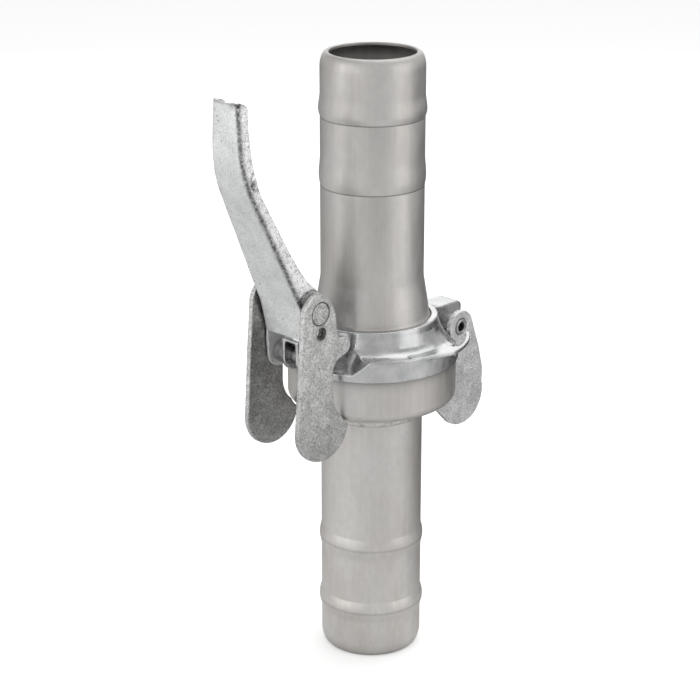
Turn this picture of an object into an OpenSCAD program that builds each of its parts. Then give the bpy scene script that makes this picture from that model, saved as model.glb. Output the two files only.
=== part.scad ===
// Lever-lock ball-and-cup pipe coupling with two hose tails.
// Origin: pipe axis, on the plane of the lower mouth. Z runs up the pipe axis.
// The lever is on the -X side, the fixed hooks are on the +X side, and every hinge runs along Y.

/* [Hose tails] */
// Outside diameter of both hose tails
tail_d = 76; // [74:0.5:77]
// Wall thickness of both hose tails
tail_wall = 2.5; // [2:0.1:3]
// Overall height from mouth to mouth
total_h = 462; // [456:1:480]
// Height of the rolled lip at each mouth
lip_h = 11; // [8:0.5:12]
// Inside radius of each rolled mouth
mouth_r = 31.6; // [31:0.1:32.5]

/* [Ball, cup and seal] */
// Radius of the ball spigot
ball_r = 54; // [53.7:0.1:54.1]
// Height of the ball's centre
ball_z = 234; // [233.8:0.1:234.2]
// Outside radius of the cup
cup_r = 62.8; // [62.4:0.1:63]
// Wall thickness of the cup and of the ball spigot
shell_wall = 3; // [2.6:0.1:3]
// Section radius of the rubber seal ring
seal_r = 4.3; // [4:0.1:4.3]

/* [Clamp ring] */
// Radius of the ring's skirt
skirt_r = 64.5; // [64.2:0.1:65]
// Height of the ring's top rim
ring_top_z = 267; // [266:0.5:268]
// Half width of the lever lug
lever_lug_w = 8.4; // [7.5:0.1:9]
// Half width of the fixed hook lug
hook_lug_w = 9.5; // [8:0.5:10]

/* [Lever] */
// Half width of the lever at its tip
lever_tip_w = 11.8; // [10.5:0.1:14]
// Half width of the lever across its cheeks
cheek_w = 23.4; // [23:0.1:23.5]
// Sheet thickness of the lever
lever_t = 3; // [2.5:0.1:3.2]
// Height of the lever's tip
lever_top_z = 447.5; // [442:0.5:455]

/* [Hook plates] */
// Thickness of every hook plate
plate_t = 4.5; // [4:0.1:5]
// Distance from the middle plane to a lever hook's inner face
lever_hook_y = 23.7; // [23.7:0.1:24.2]
// Distance from the middle plane to a fixed hook's inner face
fixed_hook_y = 20.5; // [20:0.1:20.6]
// Radius of the hole for a safety pin
safety_r = 4.5; // [3:0.5:5]

/* [Hidden] */
$fn = 96;

tail_r = tail_d / 2;
bore_r = tail_r - tail_wall;
running = 0.05;        // radial clearance of a part that turns on a pin
ball_gap = 0.3;        // gap between the ball and what it seats in

// Pivots, as [x, z] in the plane of the lever
fulcrum = [-74, 251];
rivet = [-81, 291];
fixed_pivot = [72.6, 243.4];
safety_hole = [-80.4, 276];

fulcrum_r = 5.4;
rivet_r = 6;
rivet_head_r = 8.1;
rivet_head_t = 2;
tube_rivet_r = 5;
tube_rivet_bore_r = 3.4;
tube_rivet_lip_r = 5.9;

cup_rim_z = 238.4;
cup_floor_z = 198.5;   // underside of the cup
cup_corner_r = 18;     // the lower corner is an ellipse, this wide
cup_corner_h = 10;     // and this high
neck_z = 193;          // where the cup's neck ends on the tail
neck_r = 44.5;
tail_joint_z = 268;    // where the upper tail meets the ball spigot
flare_r = 42.3;        // outside radius of the tail there
skirt_z = 234;
band_z = 250.5;
flange_z = 240;
lip_r = 72.8;
lip_w = 3;
lip_h2 = 3;
register_z = 239;      // the ring's inner shoulder, just above the cup's rim
skirt_bore = cup_r + 0.3;
seat_r = ball_r + ball_gap;
ring_bore = 43.9;

// The flare, as [widening of the radius, distance from its end]
flare_steps = [[0, 30], [0.25, 27], [0.8, 24], [1.4, 20], [2.05, 16], [2.75, 12], [3.3, 8]];

function reverse(list) = [for (i = [len(list) - 1:-1:0]) list[i]];
// Points along an arc in the outline plane, from angle a to angle b
function arc(c, r, a, b, n = 12) =
    [for (i = [0:n]) c + r * [cos(a + (b - a) * i / n), sin(a + (b - a) * i / n)]];
// The same along an ellipse with half axes rx and rz
function oval(c, rx, rz, a, b, n = 12) =
    [for (i = [0:n]) c + [rx * cos(a + (b - a) * i / n), rz * sin(a + (b - a) * i / n)]];
// A hose barb, b = [start, crest, end, height]: it swells softly from start to crest,
// then drops more steeply to a crisp edge. Distances run from the mouth.
function barb(b, n = 8) = concat(
    [for (i = [0:n]) [tail_r + b[3] * (1 - cos(180 * i / n)) / 2, b[0] + (b[1] - b[0]) * i / n]],
    [for (i = [1:n - 1]) [tail_r + b[3] * cos(90 * i / n), b[1] + (b[2] - b[1]) * i / n]],
    [[tail_r, b[2]]]);

// Extrudes an outline in the XZ plane from y0 to y1
module slab(y0, y1) {
    translate([0, y1, 0])
        rotate([90, 0, 0])
            linear_extrude(y1 - y0)
                children();
}

// Cylinder along Y through p = [x, z] from y0 to y1
module bar(p, r, y0, y1) {
    translate([p[0], y1, p[1]])
        rotate([90, 0, 0])
            cylinder(r = r, h = y1 - y0);
}

// The flare at a tail's far end, from a base radius: it widens over its last 30 mm to top_r
function flare(base_r, top, top_r) = concat(
    [for (step = flare_steps) [base_r + step[0], top - step[1]]], [[top_r, top]]);

// Outer outline of one tail from its mouth at z = 0 up to the given height, with two barbs
function tail_outside(top, top_r, barb1, barb2) = concat(
    [[mouth_r, 0], [mouth_r + 1.5, 0]],
    oval([mouth_r + 1.5, lip_h], tail_r - mouth_r - 1.5, lip_h, -90, 0),
    barb(barb1),
    barb(barb2),
    top_r == tail_r ? [[tail_r, top]] : flare(tail_r, top, top_r));

function tail_inside(top, top_r) = concat(
    top_r == tail_r ? [[bore_r, top]] : reverse(flare(bore_r, top, top_r - tail_wall)),
    oval([mouth_r, lip_h], bore_r - mouth_r, lip_h - 2, 0, -90));

module lower_hose_tail() {
    top = 203;
    color("#a9a59e")
        rotate_extrude()
            polygon(concat(
                tail_outside(top, tail_r, [28, 38, 46, 1.75], [79.5, 90, 98, 1.45]),
                tail_inside(top, tail_r)));
}

module upper_hose_tail() {
    color("#a9a59e")
        translate([0, 0, total_h])
            mirror([0, 0, 1])
                rotate_extrude()
                    polygon(concat(
                        tail_outside(total_h - tail_joint_z, flare_r, [29, 41, 46.2, 1.2],
                                     [74, 89.5, 96.5, 0.9]),
                        tail_inside(total_h - tail_joint_z, flare_r)));
}

// Drawn pressed cup that slips over the lower tail's end
module female_cup() {
    inner_r = cup_r - shell_wall;
    corner = 8;
    inner_floor = cup_floor_z + shell_wall + 0.4;
    color("#a29e98")
        rotate_extrude()
            polygon(concat(
                [[inner_r, cup_rim_z], [inner_r, inner_floor + corner]],
                arc([inner_r - corner, inner_floor + corner], corner, 0, -90, 8),
                [[neck_r - 2, inner_floor], [tail_r + running, inner_floor - 0.5],
                 [tail_r + running, neck_z + 1], [tail_r + 2.6, neck_z + 1]],
                [[neck_r - 2.5, neck_z + 3.2], [neck_r, cup_floor_z]],
                oval([cup_r - cup_corner_r, cup_floor_z + cup_corner_h],
                     cup_corner_r, cup_corner_h, -90, 0),
                [[cup_r, cup_rim_z]]));
}

// Fillet weld between the cup's neck and the lower tail
module cup_weld() {
    color("#8d8a85")
        rotate_extrude()
            polygon([[tail_r + running, neck_z + 0.95], [tail_r + running, neck_z - 3],
                     [tail_r + 0.9, neck_z - 2.4], [tail_r + 2, neck_z - 0.7],
                     [tail_r + 2.55, neck_z + 0.95]]);
}

// Rubber ring on the cup's floor, which the ball presses on
module seal_ring() {
    color("#222222")
        rotate_extrude()
            translate([51.5, cup_floor_z + shell_wall + 0.6 + seal_r])
                circle(r = seal_r);
}

// Pressed ball collar welded to the upper tail's flare
module ball_spigot() {
    top_a = 35;
    low_a = -25.2;
    inner = ball_r - shell_wall;
    shoulder = arc([0, ball_z], ball_r, low_a, top_a, 20);
    neck = [flare_r + 0.3, tail_joint_z - 1];
    color("#9b9892")
        rotate_extrude()
            polygon(concat(
                shoulder,
                [shoulder[20] * 0.35 + neck * 0.65 + [-0.25, -0.15], neck, [flare_r, tail_joint_z],
                 [flare_r - tail_wall, tail_joint_z], [flare_r - tail_wall + 0.3, tail_joint_z - 2]],
                arc([0, ball_z], inner, top_a + 2, low_a, 20)));
}

// Seat of the ring: the skirt's register, then the sphere the ball pulls up against, then the rim's bore
seat_line = concat([[skirt_bore, skirt_z], [skirt_bore, register_z]],
    arc([0, ball_z], seat_r, asin((register_z - ball_z) / seat_r), 36, 16),
    [[ring_bore, ring_top_z - 1.4], [ring_bore, ring_top_z]]);

// The whole way round: a hollow-waisted collar with a low flange at its foot
module ring_collar() {
    rotate_extrude()
        polygon(concat([[skirt_r, skirt_z]], seat_line, [[48, ring_top_z]],
            arc([48, ring_top_z - 1], 1, 90, 0, 4),
            [[49.6, 262], [51, 258], [52.9, 254], [55.3, 250], [58, 246], [60.6, 243], [62.4, 241.2],
             [63.6, flange_z + 0.3], [skirt_r, flange_z - 0.8]]));
}

// Front and rear: the flange rises into a deep band. It starts on a slant by the lever
// and stops short of the fixed hooks.
module ring_band() {
    difference() {
        rotate_extrude()
            polygon(concat([[55.5, flange_z - 2], [skirt_r, flange_z - 2], [skirt_r, band_z - 1],
                            [skirt_r - 1, band_z]],
                oval([62.5, ring_top_z - 1.6], 13.4, 16.1, 270, 205, 8)));
        slab(-80, 80)
            polygon([[-80, 230], [-56, 230], [-56, 238.5], [-46, 251.5], [-44, 280], [-80, 280]]);
        slab(-80, 80)
            polygon([[27, 230], [80, 230], [80, 280], [20, 280], [27, 251]]);
    }
}

// Thin lip on each band, running out as a horn in front of a fixed hook
module ring_lip() {
    turn = -109.6;     // the straight run's normal
    horn = -41;
    corner = 14;
    slide = sqrt(pow(lip_r - corner, 2) - pow(64 - corner, 2));
    c = [cos(turn), sin(turn)] * (64 - corner) + [-sin(turn), cos(turn)] * slide;
    far = atan2(c[1], c[0]);
    plan = concat(
        [[-18, -52], [cos(turn), sin(turn)] * 64],
        arc(c, corner, turn, far, 6),
        arc([0, 0], lip_r, far, horn, 12),
        arc([0, 0], lip_r - lip_w, horn - 1.5, -70, 8),
        [[20, -62], [20, -55]]);
    for (side = [0, 1])
        mirror([0, side, 0])
            translate([0, 0, band_z - lip_h2])
                linear_extrude(lip_h2)
                    polygon(plan);
}

module lever_lug() {
    ear = 11;
    top = ring_top_z - 0.6;
    outline = concat(
        [[-50, top], [fulcrum[0] - ear + 1, top], [fulcrum[0] - ear, top - 1]],
        arc(fulcrum, ear, 180, 280, 8),
        [[-60, 243], [-50, 243]]);
    difference() {
        slab(-lever_lug_w, lever_lug_w)
            polygon(outline);
        translate([-100, -lever_lug_w + 3.2, 200])
            cube([42, 2 * (lever_lug_w - 3.2), top - 2.8 - 200]);
    }
}

module fixed_lug() {
    outline = concat(
        [[49, 262], [57, 259], [66, 258], [84.7, 258]],
        arc([84.5, 252.5], 5.5, 60, 0, 5),
        [[89.6, 249], [85, 243]],
        arc(fixed_pivot, 11.6, -10, -120, 8),
        [[skirt_r, skirt_z + 1], [skirt_r - 0.5, 243], [54, 246]]);
    slab(-hook_lug_w, hook_lug_w)
        polygon(outline);
}

// Cast ring that holds the ball down in the cup
module clamp_ring() {
    slot = 0.5;
    color("#c9cbc9")
        difference() {
            union() {
                ring_collar();
                ring_band();
                ring_lip();
                lever_lug();
                fixed_lug();
            }
            rotate_extrude()
                polygon(concat([[0, skirt_z - 1], [skirt_bore, skirt_z - 1]], seat_line,
                    [[ring_bore, ring_top_z + 5], [0, ring_top_z + 5]]));
            for (side = [-1, 1])
                translate([57.5, side * (fixed_hook_y + plate_t / 2) - plate_t / 2 - slot, 225])
                    cube([50, plate_t + 2 * slot, 40]);
            bar(fulcrum, fulcrum_r, -30, 30);
            bar(fixed_pivot, tube_rivet_r, -30, 30);
        }
}

// Plain pin through the lever's cheeks and the lever lug
module fulcrum_pin() {
    color("#8b8f90")
        bar(fulcrum, fulcrum_r, -cheek_w, cheek_w);
}

module fulcrum_spacers() {
    color("#8b8f90")
        for (side = [-1, 1])
            scale_y(side)
                difference() {
                    bar(fulcrum, 8.2, lever_lug_w, cheek_w - lever_t - 0.3);
                    bar(fulcrum, fulcrum_r, 0, 30);
                }
}

// Repeats what follows on the -Y side
module scale_y(side) {
    if (side > 0)
        children();
    else
        mirror([0, 1, 0])
            children();
}

// Hollow rivet that the fixed hooks swing on
module fixed_hook_pin() {
    end = fixed_hook_y + plate_t + 0.5;
    color("#9fa3a3")
        difference() {
            union() {
                bar(fixed_pivot, tube_rivet_r, -end, end);
                for (side = [-1, 1])
                    scale_y(side)
                        bar(fixed_pivot, tube_rivet_lip_r, fixed_hook_y + plate_t - 1, end);
            }
            bar(fixed_pivot, tube_rivet_bore_r, -40, 40);
        }
}

module fixed_hook_spacers() {
    color("#8b8f90")
        for (side = [-1, 1])
            scale_y(side)
                difference() {
                    bar(fixed_pivot, 8.2, hook_lug_w, fixed_hook_y - 0.3);
                    bar(fixed_pivot, tube_rivet_r, 0, 30);
                }
}

// Outer line of the lever's web, from the tip down: upright tip, one soft bend, slanted shank
web_line = concat([[-143.4, lever_top_z]],
    arc([-48.4, 419.6], 95, 180, 205, 10),
    [[-94.8, 295], [-91, 284], [-87, 269]]);
// The free edge of the flanges, from the cheeks back up to the tip
edge_line = concat(
    [[-62, 252], [-61.8, 262], [-62, 280], [-65.2, 291], [-71, 300], [-78.8, 307.6], [-87, 315.4],
     [-94, 325.2], [-102.3, 340], [-114, 361.5], [-123.1, 379], [-127, 388], [-129.7, 397],
     [-131.8, 412], [-132.8, 430]],
    arc([-137.4, lever_top_z - 5], 5, 5, 90, 5));

module lever() {
    web_end_z = 269;
    taper_z = 269;
    // How wide the lever is at each height, less the inset given
    module widths(inset) {
        translate([-200, 0, 0])
            rotate([90, 0, 90])
                linear_extrude(200)
                    polygon([[inset - cheek_w, 200], [inset - cheek_w, taper_z],
                             [inset - lever_tip_w, lever_top_z + 0.1],
                             [lever_tip_w - inset, lever_top_z + 0.1],
                             [cheek_w - inset, taper_z], [cheek_w - inset, 200]]);
    }
    inner_web = [for (p = web_line) p + [lever_t + 0.2, 0]];
    color("#d3d6d4")
        difference() {
            intersection() {
                slab(-50, 50)
                    polygon(concat(web_line, arc(fulcrum, 12, 175, 360, 14), edge_line));
                widths(0);
            }
            intersection() {
                slab(-50, 50)
                    polygon(concat(
                        [[web_line[0][0] + lever_t + 0.2, 480]],
                        [for (p = inner_web) if (p[1] > web_end_z + 4) p],
                        [[-85.6, web_end_z], [-120, web_end_z], [-120, 200], [-20, 200], [-20, 480]]));
                widths(lever_t);
            }
            bar(fulcrum, fulcrum_r + running, -40, 40);
            bar(rivet, rivet_r, -40, 40);
            bar(safety_hole, safety_r, -40, 40);
        }
}

// Through rivet in the lever, with a flush head on each lever hook
module hook_rivet() {
    face = lever_hook_y + plate_t;
    color("#b4b7b5")
        union() {
            bar(rivet, rivet_r, -face, face);
            bar(rivet, rivet_head_r, -face, -face + rivet_head_t);
            bar(rivet, rivet_head_r, face - rivet_head_t, face);
        }
}

// Kidney outline of a lever hook: round head, stop nose, straight throat, round toe under the cup
module lever_hook_outline() {
    head = [-83.4, 291.5];
    nose = [-58, 262];
    toe = [-79, 204.2];
    polygon(concat(
        arc(head, 14.4, 178, 36, 14),
        [[-68.4, 294.5], [-66.2, 288], [-65, 280], [-64.5, 273], [-63.4, 270.4], [-61.4, 268.8]],
        arc(nose, 6.8, 98, -75, 12),
        [[-65.5, 252]],
        arc([-64.4, 246], 4.2, 130, 180, 4),
        arc([-47, 226], 21.6, 180, 232, 8),
        [[-59, 206.2], [-56.8, 203.5], [-54.7, 201.8]],
        arc(toe, 25.2, -8, -180, 24),
        [[-103.4, 214], [-101.2, 250]]));
}

// One lever hook between its inner and outer faces, on the +Y side
module lever_hook() {
    outer = lever_hook_y + plate_t;
    difference() {
        slab(lever_hook_y, outer)
            lever_hook_outline();
        bar(rivet, rivet_r + running, 0, 40);
        bar(rivet, rivet_head_r + running, outer - rivet_head_t - running, 40);
        bar(safety_hole, safety_r, 0, 40);
    }
}

module lever_hook_rear() {
    color("#a5a8a3")
        lever_hook();
}

module lever_hook_front() {
    color("#a5a8a3")
        mirror([0, 1, 0])
            lever_hook();
}

// Kidney outline of a fixed hook: round head on the hollow rivet, round toe under the cup
module fixed_hook_outline() {
    toe = [75, 187.4];
    polygon(concat(
        arc(fixed_pivot, 12.7, 20, 180, 14),
        [[61.4, 232], [60.8, 212]],
        arc([46.5, 212], 14.3, 0, -90, 8),
        arc([46.5, 191.5], 6.2, 90, 218, 8),
        arc(toe, 23.8, 228, 375, 20),
        [[98.2, 205], [93.2, 224]]));
}

module fixed_hook() {
    outer = fixed_hook_y + plate_t;
    difference() {
        slab(fixed_hook_y, outer)
            fixed_hook_outline();
        bar(fixed_pivot, tube_rivet_r + running, 0, 40);
        bar(fixed_pivot, tube_rivet_lip_r + 0.7, outer - 1.3, 40);
    }
}

module fixed_hook_rear() {
    color("#a5a8a3")
        fixed_hook();
}

module fixed_hook_front() {
    color("#a5a8a3")
        mirror([0, 1, 0])
            fixed_hook();
}

lower_hose_tail();
female_cup();
cup_weld();
seal_ring();
upper_hose_tail();
ball_spigot();
clamp_ring();
fulcrum_pin();
fulcrum_spacers();
fixed_hook_pin();
fixed_hook_spacers();
lever();
hook_rivet();
lever_hook_front();
lever_hook_rear();
fixed_hook_front();
fixed_hook_rear();
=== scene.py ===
"""Looks of a lever-lock pipe coupling with two hose tails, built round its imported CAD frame.

Pieces of revolution are turned from outlines. Cast, folded and cut pieces are skinned from their
CAD nodes with softened edges. The object's sizes are in millimetres until a mesh is made, the
studio's are in metres, and angles are in degrees.
"""

import math

import bmesh
import bpy
import numpy as np
from mathutils import Matrix, Vector, noise


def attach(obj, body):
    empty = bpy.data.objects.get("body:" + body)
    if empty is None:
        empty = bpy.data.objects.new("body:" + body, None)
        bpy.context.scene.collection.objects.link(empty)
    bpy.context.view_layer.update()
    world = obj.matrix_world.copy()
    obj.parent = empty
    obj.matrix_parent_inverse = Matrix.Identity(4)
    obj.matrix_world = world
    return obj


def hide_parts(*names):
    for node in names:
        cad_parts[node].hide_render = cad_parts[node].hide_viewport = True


MM = 0.001
SEGMENTS = 224           # faces round a turned piece, unless it says otherwise
PIN_SEGMENTS = 96
SHARP_ANGLE = 38         # a turned edge that bends more than this stays sharp
WAVE_BIAS = 0.75         # sinks a skin's waves inwards, so that few points rise past its CAD node

# What is painted on meshes for materials to read
# The first carries painted shade and shadow on the tails, cup and hooks, and on the lever also zinc
# residue and a dark corner line
PAINTED_SHADE_AND_DIRT = "painted_shade_and_dirt"
FLECKS = "flecks"

# Pipe, cup and ball
TAIL_R = 38.0
BORE_R = 35.5
MOUTH_R = 31.6
MOUTH_EDGE_R = 0.75
LIP_H = 11.0
TOTAL_H = 462.0
LOWER_TOP_Z = 203.0
TAIL_GAP = 0.05          # between the lower tail and what is fitted round it
JOINT_Z = 268.0
FLARE_R = 42.3
# How much wider the flare is, and how far below its top
FLARE_STEPS = [(0, 30), (0.25, 27), (0.8, 24), (1.4, 20), (2.05, 16), (2.75, 12), (3.3, 8)]
LOWER_BARBS = [(28, 38, 46, 1.75), (79.5, 90, 98, 1.45)]   # start, crest, end, height
UPPER_BARBS = [(29, 41, 46.2, 1.2), (74, 89.5, 96.5, 0.9)]
CUP_R = 62.8
CUP_FLOOR_Z = 198.5
CUP_RIM_Z = 238.4
CUP_CORNER = (18, 10)
SKIRT_Z = 234.0          # the clamp ring's lower edge
NECK_R = 44.5
NECK_Z = 193.0
WELD_BEATS = 74          # ripples round the weld
WALL = 3.0
BALL_R = 54.0
BALL_Z = 234.0
BALL_FOOT = -25.2        # angle of the ball's lower edge, seen from its centre
SEAL_R = 4.3
SEAL_CENTRE = (51.5, 206.4)

# Lever
LEVER_TOP_Z = 447.5
LEVER_TIP_W = 11.8
CHEEK_W = 23.4
TAPER_Z = 269.0
WEB_BEND = ((-48.4, 419.6), 95.0, 180, 205)   # centre, radius, first and last angle
WEB_TAIL = [(-94.8, 295), (-91, 284), (-87, 269)]
CORNER_R = 2.6

CORNER_START = 6         # how far below the taper's start the rounded corners fade in
DRIP = (-129.6, -14.9, 393.5)          # a torn zinc drip on the front flange's free edge
DRIP_PIT = (-131.6, -15.2, 391.4)
TORN_TOP = (             # bumps of the lever's top edge, as for bumps()
    ((-142, 9.5, LEVER_TOP_Z), (2.6, 2.4, 6), 1.6),
    ((-140, 1, LEVER_TOP_Z), (4, 3, 6), -0.5),
    ((-139, -7, LEVER_TOP_Z), (3, 2, 6), 0.5),
    ((-135, -10.5, LEVER_TOP_Z), (2.5, 3, 6), -0.7))

# Pins and holes along Y, as (x, z)
FULCRUM = (-74.0, 251.0)
FULCRUM_R = 5.4
RIVET = (-81.0, 291.0)
FIXED_PIVOT = (72.6, 243.4)
TUBE_RIVET_R = 5.0
TUBE_RIVET_BORE_R = 3.4
TUBE_RIVET_LIP_R = 5.9
WASHER_R = 8.2
WASHERS = (              # name, node, pivot, bore, inner and outer face
    ("fulcrum_washer", "fulcrum_spacers", FULCRUM, FULCRUM_R, 8.4, 20.1),
    ("hook_washer", "fixed_hook_spacers", FIXED_PIVOT, TUBE_RIVET_R, 9.5, 20.2))
SAFETY_HOLE = (-80.4, 276.0)
SAFETY_R = 4.5
HOOK_HEAD = (-83.4, 291.5)
HEAD_SHADOW_R = 15.6       # the painted shadow line round the hook's head
LEVER_HOOK_INNER = 23.7  # inner face of a lever hook, along Y
FIXED_HOOK_FACE = 25.0   # outer face of a fixed hook, along Y


# ---------------------------------------------------------------- outlines

def arc(centre, rx, first, last, n=10, ry=None):
    """Points on an arc, or on an ellipse if ry is given, from one angle to another."""
    ry = rx if ry is None else ry
    angles = np.radians(np.linspace(first, last, n + 1))
    return [(centre[0] + rx * math.cos(a), centre[1] + ry * math.sin(a)) for a in angles]


def barb(start, crest, end, height, n=14):
    """A hose barb: a soft swell up to its crest, then a steeper drop to a crisp edge."""
    swell = [(TAIL_R + height * (1 - math.cos(math.pi * i / n)) / 2,
              start + (crest - start) * i / n) for i in range(n + 1)]
    drop = [(TAIL_R + height * math.cos(math.pi / 2 * i / n), crest + (end - crest) * i / n)
            for i in range(1, n + 1)]
    return swell + drop


def flare(base_r, top, top_r):
    """The flared end of a tube of radius base_r, up to the height and radius of its edge."""
    return [(base_r + wider, top - below) for wider, below in FLARE_STEPS] + [(top_r, top)]


def tail_outline(top, top_r, barbs, crease=0.0):
    """Section of a tail from its mouth at height 0, outside first, creased after each barb."""
    lip = (MOUTH_R + 1.5, LIP_H)
    outside = arc((MOUTH_R + MOUTH_EDGE_R, MOUTH_EDGE_R), MOUTH_EDGE_R, 180, 270, 6)
    outside += arc(lip, TAIL_R - lip[0], -90, 0, 16, ry=LIP_H)
    for b in barbs:
        outside += barb(*b) + [(TAIL_R - crease, b[2] + 0.35), (TAIL_R, b[2] + 0.9)]
    if top_r > TAIL_R:
        outside += flare(TAIL_R, top, top_r)
        inside = flare(BORE_R, top, top_r - TAIL_R + BORE_R)[::-1]
    else:
        outside += [(TAIL_R, top)]
        inside = [(BORE_R, top)]
    inside += arc((MOUTH_R, LIP_H), BORE_R - MOUTH_R, 0, -90, 12, ry=LIP_H - 2)
    return outside + inside


def cup_outline():
    """Section of the drawn cup: its inside from the rim down, its neck, its corner and its wall.

    The wall has a point at every millimetre, for the shadow painted under the clamp ring.
    """
    inner_corner_r = 8
    inner_r = CUP_R - WALL
    floor_z = CUP_FLOOR_Z + WALL + 0.4
    bore_r = TAIL_R + TAIL_GAP
    inside = [(inner_r, CUP_RIM_Z), (inner_r, floor_z + inner_corner_r)]
    inside += arc((inner_r - inner_corner_r, floor_z + inner_corner_r), inner_corner_r, 0, -90)
    inside += [(NECK_R - 2, floor_z), (bore_r, floor_z - 0.5), (bore_r, NECK_Z + 1)]
    neck = [(TAIL_R + 2.6, NECK_Z + 1), (40.8, 194.4), (41.4, 195.7), (42.3, 196.9),
            (43.6, 197.9), (45.2, 198.4)]
    width, height = CUP_CORNER
    wall_z = CUP_FLOOR_Z + height
    corner = arc((CUP_R - width, wall_z), width, -88, 0, 20, ry=height)
    wall = [(CUP_R, z) for z in np.arange(wall_z + 1, CUP_RIM_Z - 1)]
    return inside + neck + corner + wall + [(CUP_R, CUP_RIM_Z - 0.6), (CUP_R - 0.6, CUP_RIM_Z)]


def ball_outline():
    """Section of the pressed ball: up its outside to the neck, and back down its inside."""
    outside = arc((0, BALL_Z), BALL_R, BALL_FOOT, 35, 30)
    neck = [(42.9, 266.2), (42.6, 267), (FLARE_R, JOINT_Z), (FLARE_R - 2.5, JOINT_Z),
            (FLARE_R - 2.2, JOINT_Z - 2)]
    return outside + neck + arc((0, BALL_Z), BALL_R - WALL, 37, BALL_FOOT, 30)


# ---------------------------------------------------------------- meshes

def add_piece(name, mesh, body, nodes, material):
    """Puts a mesh in the scene as a piece that stands for some CAD nodes."""
    obj = bpy.data.objects.new(name, mesh)
    bpy.context.scene.collection.objects.link(obj)
    mesh.materials.clear()
    mesh.materials.append(material)
    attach(obj, body)
    if nodes:
        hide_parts(*nodes)
    return obj


def smooth_shade(mesh):
    mesh.polygons.foreach_set("use_smooth", np.ones(len(mesh.polygons), bool))


def turned(name, outline, along=None, segments=SEGMENTS, wobble=None):
    """Turns a closed outline of (radius, distance) about the pipe's axis, or about a pin's.

    A pin lies along Y through `along`. wobble(angle, radius, distance) is added to the radius.
    """
    outline = np.array(outline, float)
    count = len(outline)
    angle = np.linspace(0, 2 * math.pi, segments, endpoint=False)[:, None]
    radius = np.repeat(outline[None, :, 0], segments, 0)
    distance = np.repeat(outline[None, :, 1], segments, 0)
    if wobble:
        radius = radius + wobble(angle, radius, distance)
    first, second = radius * np.cos(angle), radius * np.sin(angle)
    if along:
        points = np.stack([along[0] + first, distance, along[1] + second], -1)
    else:
        points = np.stack([first, second, distance], -1)
    faces = [(i * count + j, i * count + (j + 1) % count,
              (i + 1) % segments * count + (j + 1) % count, (i + 1) % segments * count + j)
             for i in range(segments) for j in range(count)]
    mesh = bpy.data.meshes.new(name)
    mesh.from_pydata((points.reshape(-1, 3) * MM).tolist(), [], faces)
    work = bmesh.new()
    work.from_mesh(mesh)
    bmesh.ops.recalc_face_normals(work, faces=work.faces)
    work.to_mesh(mesh)
    work.free()
    smooth_shade(mesh)
    mesh.set_sharp_from_angle(angle=math.radians(SHARP_ANGLE))
    return mesh


def read_points(mesh):
    points = np.zeros(len(mesh.vertices) * 3, np.float32)
    mesh.vertices.foreach_get("co", points)
    return points.reshape(-1, 3).astype(float) / MM


def write_points(mesh, points):
    mesh.vertices.foreach_set("co", (points * MM).astype(np.float32).ravel())
    mesh.update()


def with_modifiers(mesh, *settings):
    """The mesh after some modifiers, each given as (type, {property: value})."""
    obj = bpy.data.objects.new("work", mesh)
    bpy.context.scene.collection.objects.link(obj)
    for kind, values in settings:
        modifier = obj.modifiers.new(kind, kind)
        for key, value in values.items():
            setattr(modifier, key, value)
    graph = bpy.context.evaluated_depsgraph_get()
    graph.update()
    made = bpy.data.meshes.new_from_object(obj.evaluated_get(graph))
    bpy.data.objects.remove(obj)
    return made


def paint(mesh, name, values):
    """Keeps one number for each of the mesh's points, for a material to read."""
    attribute = mesh.attributes.new(name, "FLOAT", "POINT")
    attribute.data.foreach_set("value", values.astype(np.float32))


def painted_shade_lines(points, heights, width, depth):
    """Lines of painted shade round the outside of a tail at some heights, `depth` dark and `width`
    wide.
    """
    outside = np.hypot(points[:, 0], points[:, 1]) > TAIL_R - 1
    return outside * depth * sum(np.exp(-((points[:, 2] - z) / width) ** 2) for z in heights)


def skinned(node, voxel, passes, reshape=None, wave=0.0, wave_size=9.0):
    """A fine even skin over a CAD node, with its edges softened by smoothing passes.

    reshape(points) moves the skin's points before it is smoothed. wave is how far the metal
    undulates, and wave_size how long the waves are.
    """
    mesh = with_modifiers(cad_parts[node].data.copy(),
                          ("REMESH", {"mode": "VOXEL", "voxel_size": voxel * MM}))
    if reshape:
        write_points(mesh, reshape(read_points(mesh)))
    mesh = with_modifiers(mesh, ("SMOOTH", {"factor": 0.5, "iterations": passes}))
    if wave:
        points = read_points(mesh)
        normals = np.zeros(len(points) * 3, np.float32)
        mesh.vertices.foreach_get("normal", normals)
        height = np.array([noise.noise(Vector(p) / wave_size) for p in points])
        write_points(mesh, points + normals.reshape(-1, 3) * (height[:, None] - WAVE_BIAS) * wave)
    smooth_shade(mesh)
    return mesh


# ---------------------------------------------------------------- materials

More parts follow.
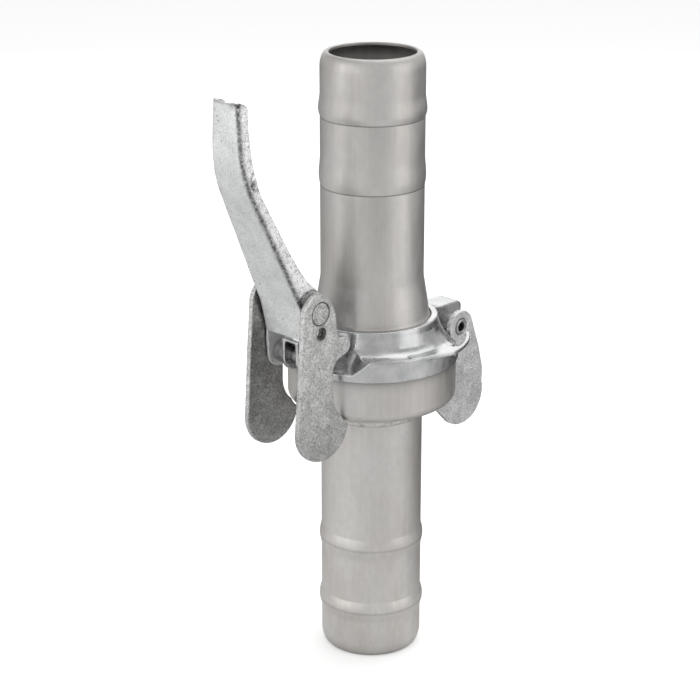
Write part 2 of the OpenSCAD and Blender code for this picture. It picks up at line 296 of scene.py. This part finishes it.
class Nodes:
    """A small builder for one material's node tree."""

    MIX_INPUTS = (0, 6, 7)    # a colour mix's sockets: its factor, A and B
    MIX_RESULT = 2

    def __init__(self, name):
        self.material = bpy.data.materials.new(name)
        self.material.use_nodes = True
        self.tree = self.material.node_tree
        self.shader = self.tree.nodes["Principled BSDF"]
        self.coords = self.tree.nodes.new("ShaderNodeTexCoord").outputs["Object"]

    def add(self, kind, inputs=None, **settings):
        node = self.tree.nodes.new(kind)
        for key, value in settings.items():
            setattr(node, key, value)
        for key, value in (inputs or {}).items():
            self.join(value, node.inputs[key])
        return node

    def join(self, value, socket):
        if isinstance(value, bpy.types.NodeSocket):
            self.tree.links.new(value, socket)
        else:
            socket.default_value = value

    def noise(self, size, detail=3.0, stretch=(1, 1, 1), roughness=0.55):
        """Noise in blotches of about `size` mm, longer along an axis whose stretch is over 1."""
        mapping = self.add("ShaderNodeMapping",
                           {"Vector": self.coords, "Scale": [1 / s for s in stretch]})
        inputs = {"Vector": mapping.outputs["Vector"], "Scale": 1 / (size * MM),
                  "Detail": detail, "Roughness": roughness}
        return self.add("ShaderNodeTexNoise", inputs).outputs["Fac"]

    def cells(self, size, feature="F1", output="Color"):
        """Irregular cells about `size` mm across."""
        inputs = {"Vector": self.coords, "Scale": 1 / (size * MM)}
        return self.add("ShaderNodeTexVoronoi", inputs, feature=feature).outputs[output]

    def painted(self, name):
        """What paint() kept on the mesh under a name."""
        return self.add("ShaderNodeAttribute", attribute_name=name).outputs["Fac"]

    def ramp(self, factor, low, high, to_low=0.0, to_high=1.0):
        """Maps low..high onto to_low..to_high, clamped."""
        inputs = {"Value": factor, "From Min": low, "From Max": high,
                  "To Min": to_low, "To Max": to_high}
        return self.add("ShaderNodeMapRange", inputs).outputs["Result"]

    def mix(self, factor, a, b, blend="MIX"):
        node = self.add("ShaderNodeMix", data_type="RGBA", blend_type=blend)
        for value, socket in zip((factor, a, b), self.MIX_INPUTS):
            self.join(value, node.inputs[socket])
        return node.outputs[self.MIX_RESULT]

    def tone(self, colour, *levels):
        """Dims a colour by a level that changes with height, as (height in mm, level) going up."""
        low, high = levels[0][0], levels[-1][0]
        height = self.add("ShaderNodeSeparateXYZ", {"Vector": self.coords}).outputs["Z"]
        curve = self.add("ShaderNodeValToRGB", {"Fac": self.ramp(height, low * MM, high * MM)})
        stops = curve.color_ramp.elements
        while len(stops) < len(levels):
            stops.new(0.5)
        for stop, (z, level) in zip(stops, levels):
            stop.position = (z - low) / (high - low)
            stop.color = grey(level)
        return self.mix(1.0, colour, curve.outputs["Color"], "MULTIPLY")

    def math(self, operation, a, b):
        node = self.add("ShaderNodeMath", operation=operation)
        self.join(a, node.inputs[0])
        self.join(b, node.inputs[1])
        return node.outputs[0]

    def bump(self, height, distance, strength=1.0, normal=None):
        inputs = {"Height": height, "Distance": distance * MM, "Strength": strength}
        if normal is not None:
            inputs["Normal"] = normal
        return self.add("ShaderNodeBump", inputs).outputs["Normal"]

    def finish(self, colour, roughness, normal=None, metallic=1.0):
        self.join(colour, self.shader.inputs["Base Color"])
        self.join(roughness, self.shader.inputs["Roughness"])
        self.shader.inputs["Metallic"].default_value = metallic
        if normal is not None:
            self.join(normal, self.shader.inputs["Normal"])
        return self.material


def grey(level, warmth=0.0, green=0.0):
    """A linear grey, warmed towards red or tinted towards green."""
    return (level * (1 + warmth), level * (1 + green), level * (1 - warmth), 1.0)


def satin_tube():
    """Satin galvanised pipe: soft tonal clouds and faint streaks along the pipe."""
    n = Nodes("satin_tube")
    clouds = n.ramp(n.noise(38, 3, stretch=(1, 1, 2.2)), 0.36, 0.64)
    streaks = n.ramp(n.noise(2.6, 3, stretch=(1, 1, 26)), 0.34, 0.66)
    colour = n.mix(clouds, grey(0.56, 0.05), grey(0.66, 0.025, 0.004))
    colour = n.mix(n.ramp(streaks, 0, 1, 0, 0.4), colour, grey(0.68, 0.03))
    colour = n.tone(colour, (40, 1), (160, 0.9), (290, 0.87))
    mottle = n.ramp(n.noise(4.5, 5, stretch=(1, 1, 1.6), roughness=0.7), 0.38, 0.62)
    colour = n.mix(n.math("MULTIPLY", mottle, 0.22), colour, grey(0.42, 0.02))
    specks = n.ramp(n.noise(1.1, 2), 0.67, 0.74, 0, 0.3)
    colour = n.mix(specks, colour, grey(0.3, 0.02))
    # darkens where painted: painted shade in the barbs' creases and over the tails' ends, and
    # painted shadow under the clamp ring
    colour = n.mix(n.math("MULTIPLY", n.painted(PAINTED_SHADE_AND_DIRT), 0.85), colour, grey(0.1, 0.03))
    roughness = n.ramp(n.noise(9, 4, stretch=(1, 1, 3)), 0.3, 0.7, 0.42, 0.52)
    normal = n.bump(n.noise(0.55, 2), 0.05, 0.3)
    return n.finish(colour, roughness, normal)


def cast_zinc():
    """Bright zinc plating over a casting: glossy, with the casting's faint pits."""
    n = Nodes("cast_zinc")
    clouds = n.ramp(n.noise(12, 3), 0.35, 0.65)
    colour = n.mix(clouds, grey(0.44, -0.01), grey(0.56, 0.0))
    pits = n.ramp(n.noise(1.7, 3), 0.64, 0.72, 0, 0.45)
    colour = n.mix(pits, colour, grey(0.26, 0.0))
    roughness = n.ramp(n.noise(6, 4), 0.3, 0.7, 0.2, 0.34)
    normal = n.bump(n.noise(2.2, 3), 0.12, 0.25)
    normal = n.bump(n.noise(0.5, 2), 0.04, 0.3, normal)
    return n.finish(colour, roughness, normal)


def galvanised(name, light, dark, spangle, mottle, grain, fine, metallic, flecked=False, tones=()):
    """Hot-dip galvanised metal: a spangled, mottled grey with a fine grain and dark pin specks.

    spangle and mottle are sizes in mm, grain is how bumpy the metal is, and fine how strong its
    small light and dark marks are. Flecked metal has crackled flanges. tones dims it by height,
    as in Nodes.tone.
    """
    n = Nodes(name)
    clouds = n.ramp(n.noise(mottle, 4), 0.34, 0.66)
    crystal = n.add("ShaderNodeRGBToBW", {"Color": n.cells(spangle)}).outputs["Val"]
    both = n.math("ADD", n.math("MULTIPLY", clouds, 0.68), n.math("MULTIPLY", crystal, 0.32))
    colour = n.mix(both, dark, light)
    if tones:
        colour = n.tone(colour, *tones)
    dark_marks = n.ramp(n.noise(1.3, 4, roughness=0.75), 0.38, 0.6, fine, 0)
    colour = n.mix(dark_marks, colour, [c * 0.4 for c in dark[:3]] + [1])
    light_marks = n.ramp(n.noise(1.0, 3, roughness=0.7), 0.52, 0.66, 0, fine * 0.8)
    colour = n.mix(light_marks, colour, grey(0.98, 0.0, 0.006))
    specks = n.ramp(n.noise(1.9, 3, roughness=0.6), 0.62, 0.7, 0, 0.7)
    colour = n.mix(specks, colour, grey(0.13, 0.02))
    # lightens convex edges: a painted highlight along the rims, partly worn zinc
    pointy = n.add("ShaderNodeNewGeometry").outputs["Pointiness"]
    colour = n.mix(n.ramp(pointy, 0.52, 0.62, 0, 0.6), colour, grey(0.86, 0.0, 0.01))
    if flecked:
        flange = n.painted(FLECKS)
        scuffs = n.ramp(n.noise(1.6, 4, stretch=(2.5, 1, 0.7), roughness=0.75), 0.4, 0.62)
        scuffed = n.mix(scuffs, grey(0.84, 0.0, 0.006), grey(0.99, 0.0, 0.004))
        colour = n.mix(flange, colour, scuffed)
        crackle = n.ramp(n.cells(1.5, "DISTANCE_TO_EDGE", "Distance"), 0.03, 0.13, 0.72, 0)
        patchy = n.ramp(n.noise(2.4, 3), 0.43, 0.57)
        cracks = n.math("MULTIPLY", n.math("MULTIPLY", flange, crackle), patchy)
        colour = n.mix(cracks, colour, grey(0.12, 0.02))
    # darkens where painted, in blotches: painted shade and shadow, and on the lever also zinc
    # residue and a dark corner line
    blotch = n.ramp(n.noise(2.2, 4, roughness=0.75), 0.32, 0.56, 0.3, 1)
    colour = n.mix(n.math("MULTIPLY", n.painted(PAINTED_SHADE_AND_DIRT), blotch), colour, grey(0.05, 0.02))
    roughness = n.ramp(n.noise(3.5, 4), 0.3, 0.7, 0.34, 0.56)
    normal = n.bump(n.noise(1.8, 4, roughness=0.65), 0.3, grain)
    normal = n.bump(n.noise(0.6, 2), 0.08, grain, normal)
    return n.finish(colour, roughness, normal, metallic)


def plain_steel():
    n = Nodes("pin_steel")
    colour = n.mix(n.ramp(n.noise(3, 4), 0.35, 0.65), grey(0.3, 0.01), grey(0.46, 0.0))
    roughness = n.ramp(n.noise(2, 3), 0.3, 0.7, 0.28, 0.46)
    return n.finish(colour, roughness, n.bump(n.noise(0.8, 3), 0.06, 0.3))


def weld_bead():
    n = Nodes("weld_bead")
    colour = n.mix(n.ramp(n.noise(5, 4), 0.35, 0.65), grey(0.42, 0.03), grey(0.62, 0.02))
    roughness = n.ramp(n.noise(3, 3), 0.3, 0.7, 0.36, 0.52)
    return n.finish(colour, roughness, n.bump(n.noise(1.4, 3), 0.2, 0.5))


def seal_rubber():
    n = Nodes("seal_rubber")
    colour = n.mix(n.noise(6, 3), (0.012, 0.012, 0.013, 1), (0.03, 0.03, 0.031, 1))
    roughness = n.ramp(n.noise(4, 3), 0.3, 0.7, 0.6, 0.8)
    return n.finish(colour, roughness, n.bump(n.noise(0.8, 3), 0.06, 0.4), metallic=0.0)


# ---------------------------------------------------------------- the pieces

def weld_ripples(angle, radius, distance):
    """Overlapping weld beads: ripples on the fillet's outer face only."""
    proud = np.clip((radius - TAIL_R - 0.2) / 2.2, 0, 1)
    beat = np.sin(angle * WELD_BEATS + 1.4 * np.sin(angle * 5)) * 0.16 + np.sin(angle * 9 + 1) * 0.18
    return proud * (beat - 0.2)


def web_x(z):
    """Where the web's outer face is at a height."""
    centre, radius, first, last = WEB_BEND
    line = [(centre[0] - radius, LEVER_TOP_Z + 5)] + arc(centre, radius, first, last, 16) + WEB_TAIL
    line += [(WEB_TAIL[-1][0], 200)]
    xs, zs = np.array(line).T
    return np.interp(z, zs[::-1], xs[::-1])


def web_slope(z):
    """Cosine of the web's slant, which turns a distance along X into one square to the web."""
    run = (web_x(z + 1) - web_x(z - 1)) / 2
    return 1 / np.sqrt(1 + run * run)


def half_width(z):
    """Half of the lever's width at a height."""
    share = np.clip((z - TAPER_Z) / (LEVER_TOP_Z - TAPER_Z), 0, 1)
    return CHEEK_W + (LEVER_TIP_W - CHEEK_W) * share


def bumps(points, *places):
    """How far each point is raised by soft bumps, each given as (centre, spread, height)."""
    total = np.zeros(len(points))
    for centre, spread, height in places:
        gap = (points - np.array(centre)) / np.array(spread)
        total += height * np.exp(-(gap ** 2).sum(1))
    return total


def shape_lever(points):
    """Rounds the lever's two long corners, and adds the torn top and the drip of the zinc bath."""
    x, y, z = points.T
    slope = web_slope(z)
    u = (x - web_x(z)) * slope
    v = half_width(z) - np.abs(y)
    near = (u < CORNER_R) & (v < CORNER_R) & (np.minimum(u, v) < 1.2) & (z > TAPER_Z - CORNER_START)
    length = np.maximum(np.hypot(CORNER_R - u, CORNER_R - v), 1e-6)
    share = np.clip((z - TAPER_Z + CORNER_START) / 8, 0, 1) * near
    new_u = CORNER_R - (CORNER_R - u) / length * CORNER_R
    new_v = CORNER_R - (CORNER_R - v) / length * CORNER_R
    x = x + (new_u - u) / slope * share
    y = y - np.sign(y) * (new_v - v) * share
    rim = np.clip((z - LEVER_TOP_Z + 4) / 4, 0, 1)
    z = z + rim * bumps(points, *TORN_TOP)
    drip = bumps(points, (DRIP, (3.6, 3, 6), 0.8), (DRIP_PIT, (1.2, 3, 2.6), -1.3))
    y = y - drip * (y < -10)
    return np.stack([x, y, z], -1)


def lever_dirt_and_shade(points):
    """How dark the lever is painted, for a material to read.

    A dark blotchy line runs down each long corner, and zinc residue darkens the torn top and the
    ring round the drip. The rest is painted shade: along the rear corner's edge, as a shadow line
    under the hook's head, and in the safety hole.
    """
    x, y, z = points.T
    u = (x - web_x(z)) * web_slope(z)
    v = half_width(z) - np.abs(y)
    line = np.exp(-((u - 1.9) / 2.3) ** 2 - (v / 1.5) ** 2) * np.clip((z - 262) / 12, 0, 1)
    # painted shade along the rear corner's edge
    edge = 0.55 * np.exp(-((v - 0.3) / 0.7) ** 2) * (y > 0) * (u < 1.5)
    torn = 0.6 * np.exp(-((z - LEVER_TOP_Z) / 1.1) ** 2)
    torn = torn + bumps(points, ((-139, -8.5, LEVER_TOP_Z - 2), (5, 3.4, 2.4), 0.8))
    away = np.hypot((x - DRIP[0]) / 4.2, (z - DRIP[2]) / 6.2)
    drip = 0.75 * np.exp(-((away - 1) / 0.2) ** 2) + bumps(points, (DRIP_PIT, (1.6, 3, 2.8), 1.0))
    from_head = np.hypot(x - HOOK_HEAD[0], z - HOOK_HEAD[1])
    # painted shadow line under the hook's head
    under = np.exp(-((from_head - HEAD_SHADOW_R) / 1.1) ** 2) * (z > 283) * (v < 1)
    # painted shade in the safety hole
    hole = np.exp(-(np.hypot(x - SAFETY_HOLE[0], z - SAFETY_HOLE[1]) / (SAFETY_R + 1)) ** 8)
    return np.clip(line + edge + torn + drip * (y < -10) + 0.9 * under + hole, 0, 1)


def hook_painted_shade(points):
    """Painted shade on a lever hook: a shadow ring round its rivet, and shade in its safety hole and
    over its inner face.
    """
    x, y, z = points.T
    ring = np.exp(-((np.hypot(x - RIVET[0], z - RIVET[1]) - 8.5) / 0.5) ** 2)
    hole = np.exp(-(np.hypot(x - SAFETY_HOLE[0], z - SAFETY_HOLE[1]) / (SAFETY_R + 0.5)) ** 8)
    inner = 0.42 * (np.abs(y) < LEVER_HOOK_INNER + 0.9)
    return np.clip(0.9 * ring + hole + inner, 0, 1)


def flange_sides(points):
    """1 on the outer faces of the lever's two flanges, and 0 elsewhere."""
    x, y, z = points.T
    past_corner = np.clip(((x - web_x(z)) * web_slope(z) - 2.5) / 2, 0, 1)
    return past_corner * np.clip(1.2 - np.abs(half_width(z) - np.abs(y)) / 1.5, 0, 1)


def build_pipe(tube, bead, rubber):
    lower = turned("lower_tail", tail_outline(LOWER_TOP_Z, TAIL_R, LOWER_BARBS))
    points = read_points(lower)
    # painted shade: a dark line under each barb's crest, and a painted contact shadow at the tail's
    # foot
    crests = painted_shade_lines(points, [b[1] - 0.8 for b in LOWER_BARBS], 0.9, 0.3)
    paint(lower, PAINTED_SHADE_AND_DIRT, crests + 0.45 * np.exp(-points[:, 2] / 2.2))
    add_piece("lower_tail", lower, "female", ["lower_hose_tail"], tube)
    outline = tail_outline(TOTAL_H - JOINT_Z, FLARE_R, UPPER_BARBS, crease=0.2)
    upper = turned("upper_tail", [(r, TOTAL_H - z) for r, z in outline])
    points = read_points(upper)
    # painted shade: a dark line in each barb's crease, and over the mouth's rim to dull its
    # highlight
    creases = painted_shade_lines(points, [TOTAL_H - b[2] - 0.3 for b in UPPER_BARBS], 0.42, 0.9)
    paint(upper, PAINTED_SHADE_AND_DIRT, creases + 0.4 * np.exp((points[:, 2] - TOTAL_H) / 0.8))
    add_piece("upper_tail", upper, "male", ["upper_hose_tail"], tube)
    cup = turned("cup", cup_outline())
    z = read_points(cup)[:, 2]
    # painted shadow under the clamp ring's skirt
    paint(cup, PAINTED_SHADE_AND_DIRT, np.clip(np.exp((z - SKIRT_Z) / 3.2), 0, 1) * 0.8)
    add_piece("cup", cup, "female", ["female_cup"], tube)
    ball = turned("ball", ball_outline())
    add_piece("ball", ball, "male", ["ball_spigot"], tube)
    fillet = [(TAIL_R + TAIL_GAP, NECK_Z + 0.9), (TAIL_R + TAIL_GAP, NECK_Z - 3), (38.5, 190.2),
              (39.2, 190.7), (39.8, 191.6), (40.3, 192.7), (40.55, NECK_Z + 0.9)]
    weld = turned("cup_fillet", fillet, segments=8 * WELD_BEATS, wobble=weld_ripples)
    add_piece("cup_fillet", weld, "female", ["cup_weld"], bead)
    seal = turned("seal", arc(SEAL_CENTRE, SEAL_R, 0, 345, 23))
    add_piece("seal", seal, "female", ["seal_ring"], rubber)


def build_pins(steel, rivet):
    head = skinned("hook_rivet", 0.45, 6, wave=0.15, wave_size=4)
    add_piece("lever_rivet", head, "lever", ["hook_rivet"], rivet)
    end = CHEEK_W
    pin = [(0.02, -end), (4.6, -end), (FULCRUM_R, -end + 0.8), (FULCRUM_R, end - 0.8), (4.6, end),
           (0.02, end)]
    bar = turned("fulcrum_bar", pin, along=FULCRUM, segments=PIN_SEGMENTS)
    add_piece("fulcrum_bar", bar, "ring", ["fulcrum_pin"], steel)
    lip = FIXED_HOOK_FACE + 0.5
    half = [(TUBE_RIVET_BORE_R, 0), (TUBE_RIVET_BORE_R, lip - 1.4)]
    half += arc((4.65, lip - 1.25), 1.25, 180, 0, 10)[1:]
    half += [(TUBE_RIVET_LIP_R, lip - 1.5), (TUBE_RIVET_R, lip - 1.9)]
    tube = [(r, -y) for r, y in half[::-1]] + half[1:]
    hollow = turned("hollow_rivet", tube[::-1], along=FIXED_PIVOT, segments=PIN_SEGMENTS)
    add_piece("hollow_rivet", hollow, "ring", ["fixed_hook_pin"], steel)
    for name, node, pivot, bore, inner, outer in WASHERS:
        section = [(bore, inner), (WASHER_R, inner), (WASHER_R, outer - 0.5), (7.7, outer),
                   (bore, outer)]
        for side, suffix in ((-1, "front"), (1, "rear")):
            washer = turned(f"{name}_{suffix}", [(r, side * y) for r, y in section],
                            along=pivot, segments=72)
            add_piece(f"{name}_{suffix}", washer, "ring", [node], steel)


def build_castings(zinc, lever_zinc, hook, plate):
    ring = skinned("clamp_ring", 0.6, 4, wave=0.12, wave_size=7)
    add_piece("ring_casting", ring, "ring", ["clamp_ring"], zinc)
    arm = skinned("lever", 0.5, 4, reshape=shape_lever, wave=0.22)
    # dark corner lines and zinc residue, with painted shade and shadow by the hook's head and in the
    # safety hole
    paint(arm, PAINTED_SHADE_AND_DIRT, lever_dirt_and_shade(read_points(arm)))
    paint(arm, FLECKS, flange_sides(read_points(arm)))
    add_piece("lever_arm", arm, "lever", ["lever"], lever_zinc)
    for node in ("lever_hook_front", "lever_hook_rear"):
        mesh = skinned(node, 0.5, 7, wave=0.16)
        # painted shade round the rivet, in the safety hole and over the inner face
        paint(mesh, PAINTED_SHADE_AND_DIRT, hook_painted_shade(read_points(mesh)))
        add_piece(f"{node}_plate", mesh, node, [node], hook)
    for node in ("fixed_hook_front", "fixed_hook_rear"):
        mesh = skinned(node, 0.5, 7, wave=0.16)
        add_piece(f"{node}_plate", mesh, node, [node], plate)


# ---------------------------------------------------------------- studio

CAMERA_AT = Vector((-1.0268, -0.9793, 0.7404))
CAMERA_LOOKS = Vector((0.6745, 0.6582, -0.3344)).normalized()
CAMERA_LENS = 103.84
CENTRE = Vector((0, 0, 0.23))
SENSOR_W = 36.0
LIGHTS = (               # name, turn, height, distance, size and strength, as for softbox()
    ("left_softbox", -61, 0.25, 1.35, (1.05, 1.3), 0.95),
    ("right_softbox", 66, 0.25, 1.35, (0.85, 1.3), 0.98),
    ("top_softbox", 150, 1.7, 0.7, (1.8, 1.8), 1.2),
    ("strip_light", -26, 0.25, 1.35, (0.05, 1.0), 4.5),
    ("back_softbox", 180, 0.75, 2.0, (1.6, 0.8), 1.05))
WORLD_LIGHT = 0.7        # what lights the object, against 1 for the backdrop
FLOOR_HALF = 9.0
FLOOR_GLOW = 0.27        # lifts the floor to white where the camera sees it
BRIGHT_SIDE = (-1.3, -0.55, 0)         # the way the floor is palest to reflections


def place_camera():
    camera = bpy.data.objects.new("camera", bpy.data.cameras.new("camera"))
    bpy.context.scene.collection.objects.link(camera)
    camera.data.lens = CAMERA_LENS
    camera.data.sensor_width = SENSOR_W
    camera.location = CAMERA_AT
    camera.rotation_mode = "QUATERNION"
    camera.rotation_quaternion = CAMERA_LOOKS.to_track_quat("-Z", "Y")
    bpy.context.scene.camera = camera


def softbox(name, turn, height, distance, size, strength):
    """An area light, `turn` degrees round from the camera's side, anticlockwise from above."""
    data = bpy.data.lights.new(name, "AREA")
    data.shape = "RECTANGLE"
    data.size, data.size_y = size
    data.energy = strength * math.pi * size[0] * size[1]
    light = bpy.data.objects.new(name, data)
    bpy.context.scene.collection.objects.link(light)
    towards = Vector((CAMERA_AT.x, CAMERA_AT.y, 0)).normalized()
    towards.rotate(Matrix.Rotation(math.radians(turn), 3, "Z"))
    light.location = CENTRE + towards * distance + Vector((0, 0, height))
    light.rotation_mode = "QUATERNION"
    light.rotation_quaternion = (CENTRE - light.location).to_track_quat("-Z", "Y")


def white_floor():
    """White paper to the camera, and a floor that darkens away from BRIGHT_SIDE to reflections."""
    mesh = bpy.data.meshes.new("floor")
    half = FLOOR_HALF
    corners = [(-half, -half, 0), (half, -half, 0), (half, half, 0), (-half, half, 0)]
    mesh.from_pydata(corners, [], [(0, 1, 2, 3)])
    floor = bpy.data.objects.new("floor", mesh)
    bpy.context.scene.collection.objects.link(floor)
    n = Nodes("floor_paper")
    lit = n.add("ShaderNodeBsdfDiffuse", {"Color": (0.93, 0.93, 0.93, 1)})
    glow = n.add("ShaderNodeEmission", {"Color": (1, 1, 1, 1), "Strength": FLOOR_GLOW})
    shown = n.add("ShaderNodeAddShader")
    n.join(lit.outputs[0], shown.inputs[0])
    n.join(glow.outputs[0], shown.inputs[1])
    spot = n.add("ShaderNodeNewGeometry").outputs["Position"]
    front = n.add("ShaderNodeVectorMath", {0: spot, 1: BRIGHT_SIDE}, operation="DOT_PRODUCT")
    reach = n.add("ShaderNodeVectorMath", {0: spot}, operation="LENGTH")
    share = n.math("DIVIDE", front.outputs["Value"], n.math("ADD", reach.outputs["Value"], 0.1))
    shade = n.ramp(share, -1.08, -0.03, 0.09, 0.83)
    dull = n.add("ShaderNodeBsdfDiffuse", {"Color": shade})
    pick = n.add("ShaderNodeMixShader")
    n.join(n.add("ShaderNodeLightPath").outputs["Is Camera Ray"], pick.inputs[0])
    n.join(dull.outputs[0], pick.inputs[1])
    n.join(shown.outputs[0], pick.inputs[2])
    n.join(pick.outputs[0], n.tree.nodes["Material Output"].inputs["Surface"])
    mesh.materials.append(n.material)


def light_studio():
    scene = bpy.context.scene
    world = bpy.data.worlds.new("studio")
    scene.world = world
    world.use_nodes = True
    background = world.node_tree.nodes["Background"]
    background.inputs["Color"].default_value = (1, 1, 1, 1)
    path = world.node_tree.nodes.new("ShaderNodeLightPath")
    strength = world.node_tree.nodes.new("ShaderNodeMapRange")
    strength.inputs["To Min"].default_value = WORLD_LIGHT
    world.node_tree.links.new(path.outputs["Is Camera Ray"], strength.inputs["Value"])
    world.node_tree.links.new(strength.outputs["Result"], background.inputs["Strength"])
    scene.view_settings.view_transform = "Standard"
    scene.view_settings.look = "None"
    for light in LIGHTS:
        softbox(*light)


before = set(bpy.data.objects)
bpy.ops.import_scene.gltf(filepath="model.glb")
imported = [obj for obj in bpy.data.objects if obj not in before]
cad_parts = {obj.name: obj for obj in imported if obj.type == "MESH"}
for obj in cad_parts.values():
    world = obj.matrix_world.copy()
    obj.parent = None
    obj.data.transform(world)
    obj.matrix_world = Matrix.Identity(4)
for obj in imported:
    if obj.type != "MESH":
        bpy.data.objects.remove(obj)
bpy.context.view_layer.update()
place_camera()
white_floor()
light_studio()
tube_metal = satin_tube()
# its tones paint shade over the web's slanted middle, between 310 and 380 mm up
lever_metal = galvanised(
    "lever_zinc", grey(0.9, -0.004, 0.016), grey(0.72, -0.004, 0.018), spangle=5.5, mottle=16,
    grain=0.32, fine=0.35, metallic=0.7, flecked=True,
    tones=((285, 1), (310, 0.84), (380, 0.8), (412, 1)))
plate_metal = galvanised(
    "plate_zinc", grey(0.96, 0.0, 0.008), grey(0.6, 0.0, 0.008), spangle=3.6, mottle=10,
    grain=0.9, fine=0.65, metallic=0.9)
hook_metal = galvanised(
    "hook_zinc", grey(0.93, 0.008, 0.008), grey(0.5, 0.008, 0.008), spangle=3.6, mottle=10,
    grain=0.9, fine=0.7, metallic=0.95, tones=((185, 0.61), (225, 0.83), (250, 0.94), (290, 0.92)))
rivet_metal = galvanised(
    "rivet_zinc", grey(0.85, 0.008, 0.008), grey(0.34, 0.008, 0.008), spangle=3.0, mottle=4.5,
    grain=1.4, fine=0.7, metallic=0.95)
pin_metal = plain_steel()
build_pipe(tube_metal, weld_bead(), seal_rubber())
build_pins(pin_metal, rivet_metal)
build_castings(cast_zinc(), lever_metal, hook_metal, plate_metal)
